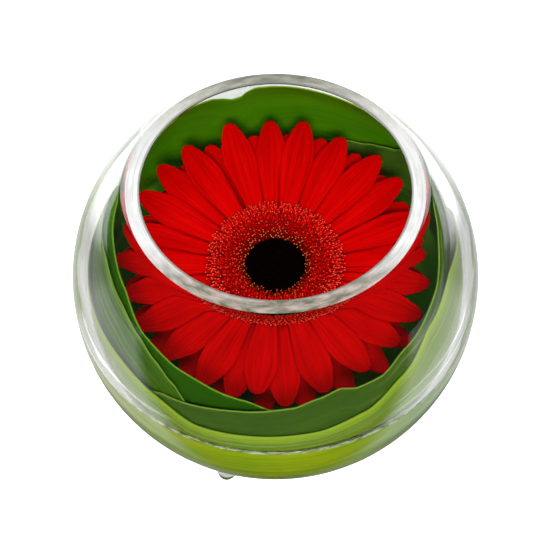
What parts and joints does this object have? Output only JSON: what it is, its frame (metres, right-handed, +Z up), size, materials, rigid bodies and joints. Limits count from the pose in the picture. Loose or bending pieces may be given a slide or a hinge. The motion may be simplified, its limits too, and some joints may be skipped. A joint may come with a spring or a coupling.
{
  "type": "gerbera in a glass bowl",
  "caption": "Round glass bowl lined with broad green leaves and part filled with water, holding a short-cut red gerbera that floats face up below the rim.",
  "frame": {"origin": "on the table, under the centre of the bowl, level with the flat ends of its feet", "axes": "+Z up through the middle of the rim, -Y toward the viewer of the picture, whom the bloom leans to, +X to the viewer's right"},
  "size_m": [0.1496, 0.1496, 0.1223],
  "materials": {
    "clear_glass": "gloss",
    "water": "gloss",
    "lime_leaf": "satin",
    "green_leaf": "satin",
    "red_ray": "matte",
    "red_floret": "matte",
    "dark_eye": "matte",
    "green_stem": "satin"
  },
  "bodies": {
    "root": {"glass_bowl": "clear_glass", "water": "water", "leaf_outer": "lime_leaf", "leaf_right": "green_leaf", "leaf_left": "green_leaf", "leaf_inner": "green_leaf", "gerbera_rays": "red_ray", "gerbera_trans_florets": "red_floret", "gerbera_disc": "dark_eye", "gerbera_stem": "green_stem"}
  },
  "joints": []
}
